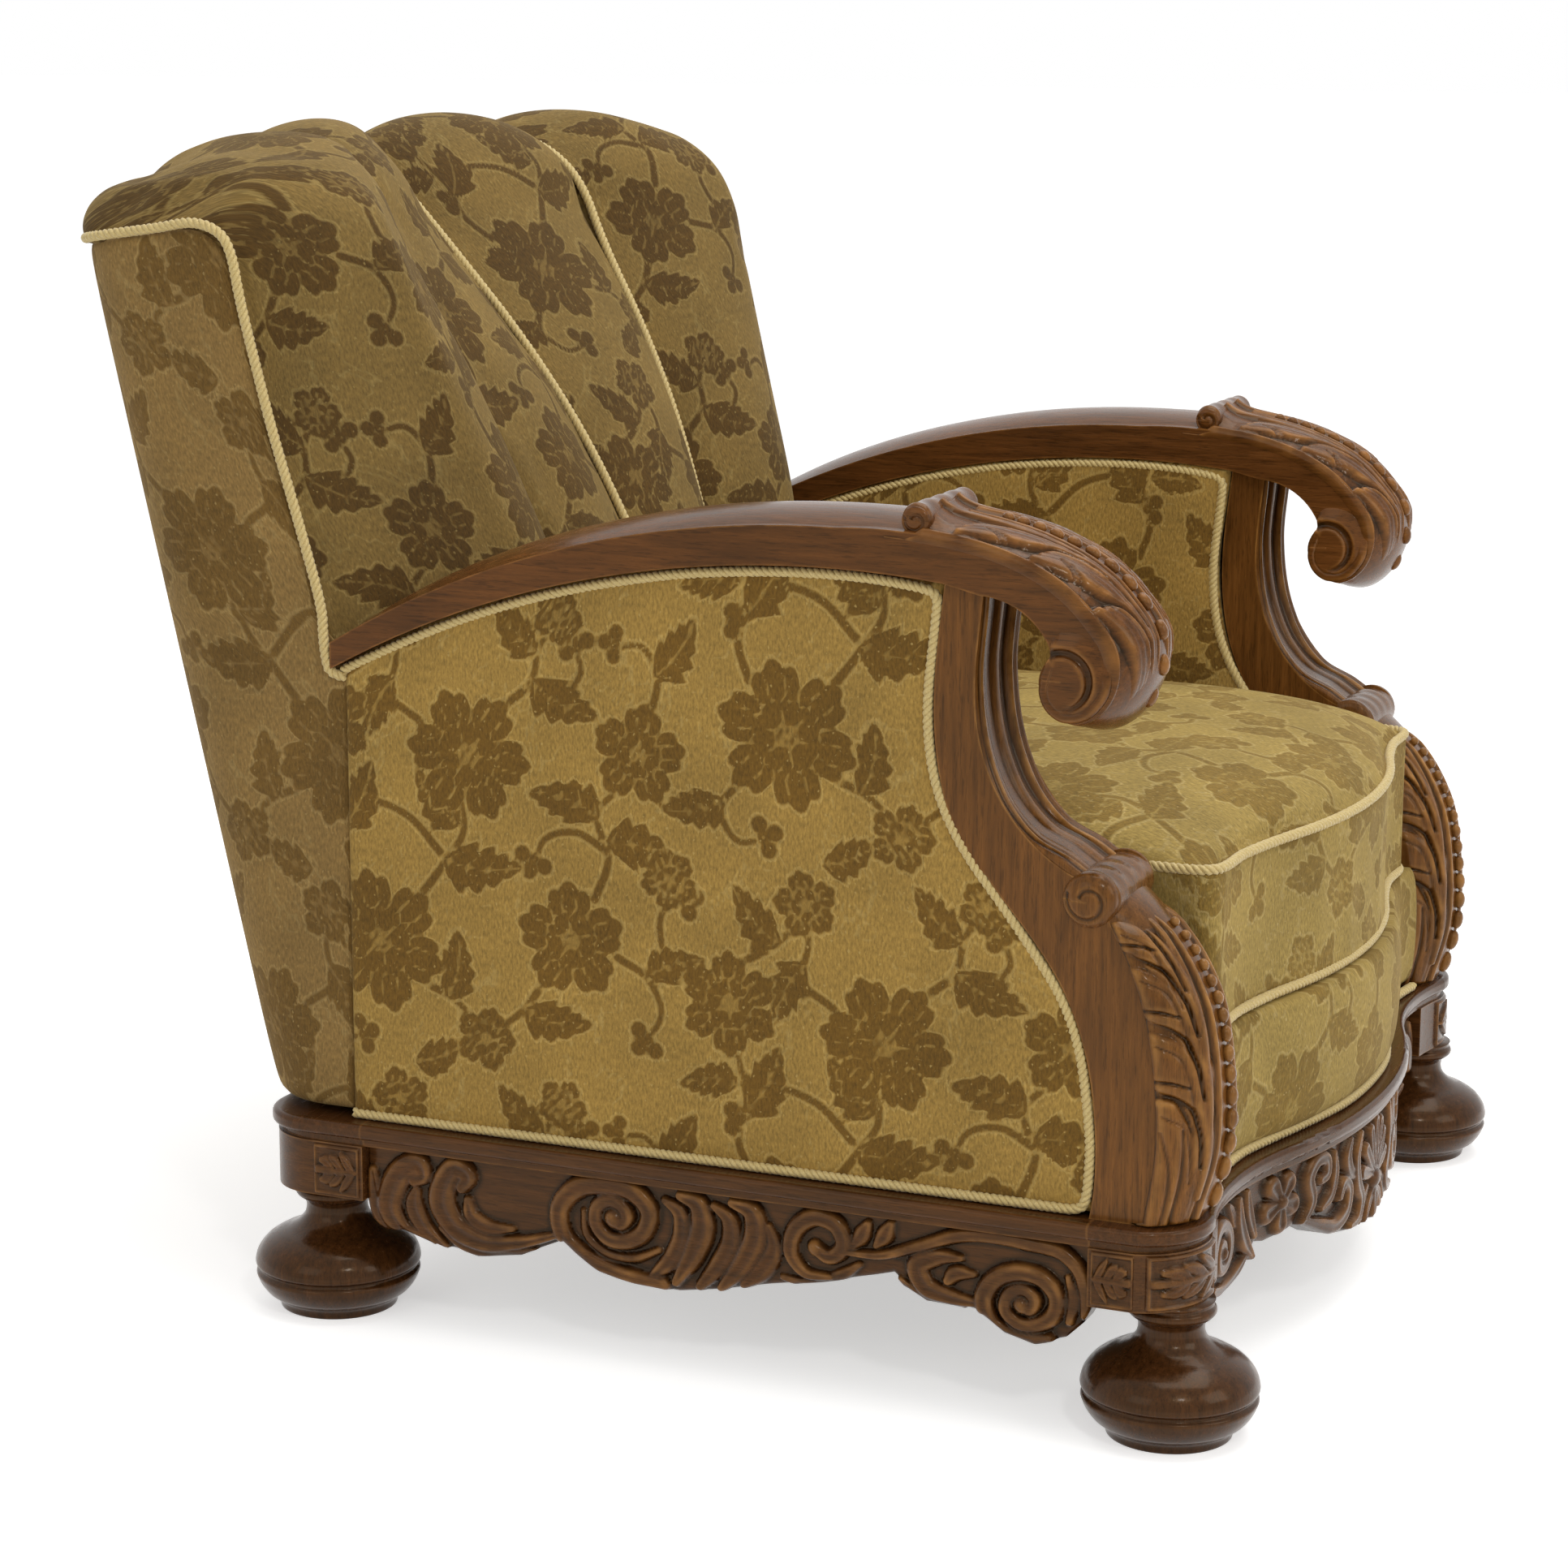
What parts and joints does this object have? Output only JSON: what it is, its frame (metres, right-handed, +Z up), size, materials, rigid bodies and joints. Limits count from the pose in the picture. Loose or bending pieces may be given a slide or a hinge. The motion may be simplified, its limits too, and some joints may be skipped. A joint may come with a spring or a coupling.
{
  "type": "upholstered armchair",
  "caption": "Low lounge armchair with scrolled carved oak arms and base on bun feet, channelled back, loose seat cushion and rope piping.",
  "frame": {"origin": "On the floor, in the middle of the chair's bounding box.", "axes": "+Z is up, the front of the chair faces -Y, +X is the sitter's left."},
  "size_m": [0.772, 0.8632, 0.806],
  "materials": {
    "oak": "brown stained oak, semi-gloss wax with worn lighter edges",
    "dark_oak": "dark stained turned oak, glossy",
    "beech": "plain sawn frame timber",
    "upholstery": "ribbed figured velvet, olive gold with a darker floral pile",
    "rope": "twisted cord, tan gold",
    "webbing": "woven jute webbing",
    "hessian": "plain jute cloth",
    "spring_steel": "drawn steel wire"
  },
  "bodies": {
    "chair": {"arm_dowels": "beech", "back_edge_piping": "rope", "back_foot_rail": "beech", "back_top_rail": "beech", "back_waist_rail": "beech", "back_webbing": "webbing", "border_piping": "rope", "channel_piping": "rope", "corner_braces": "beech", "dust_cover": "hessian", "front_apron": "oak", "front_ledge": "oak", "front_seat_rail": "beech", "left_arm": "oak", "left_arm_post": "oak", "left_arm_stay_rail": "beech", "left_back_upright": "beech", "left_front_block": "oak", "left_front_foot": "dark_oak", "left_inner_channel": "upholstery", "left_inside_arm": "upholstery", "left_inside_arm_piping": "rope", "left_outer_channel": "upholstery", "left_outside_arm": "upholstery", "left_outside_arm_piping": "rope", "left_rear_block": "oak", "left_rear_foot": "dark_oak", "left_seat_rail": "beech", "left_side_apron": "oak", "left_side_ledge": "oak", "outside_back": "upholstery", "rear_apron": "oak", "rear_ledge": "oak", "rear_seat_rail": "beech", "right_arm": "oak", "right_arm_post": "oak", "right_arm_stay_rail": "beech", "right_back_upright": "beech", "right_front_block": "oak", "right_front_foot": "dark_oak", "right_inner_channel": "upholstery", "right_inside_arm": "upholstery", "right_inside_arm_piping": "rope", "right_outer_channel": "upholstery", "right_outside_arm": "upholstery", "right_outside_arm_piping": "rope", "right_rear_block": "oak", "right_rear_foot": "dark_oak", "right_seat_rail": "beech", "right_side_apron": "oak", "right_side_ledge": "oak", "seat_border": "upholstery", "seat_deck": "hessian", "seat_hessian": "hessian", "seat_springs": "spring_steel", "seat_webbing": "webbing"},
    "cushion": {"seat_cushion": "upholstery", "cushion_top_piping": "rope", "cushion_bottom_piping": "rope"}
  },
  "joints": [
    {"name": "cushion_lift", "type": "slide", "parent": "chair", "child": "cushion", "axis": [0, 0, 1], "range_m": [0, 0.3]}
  ]
}
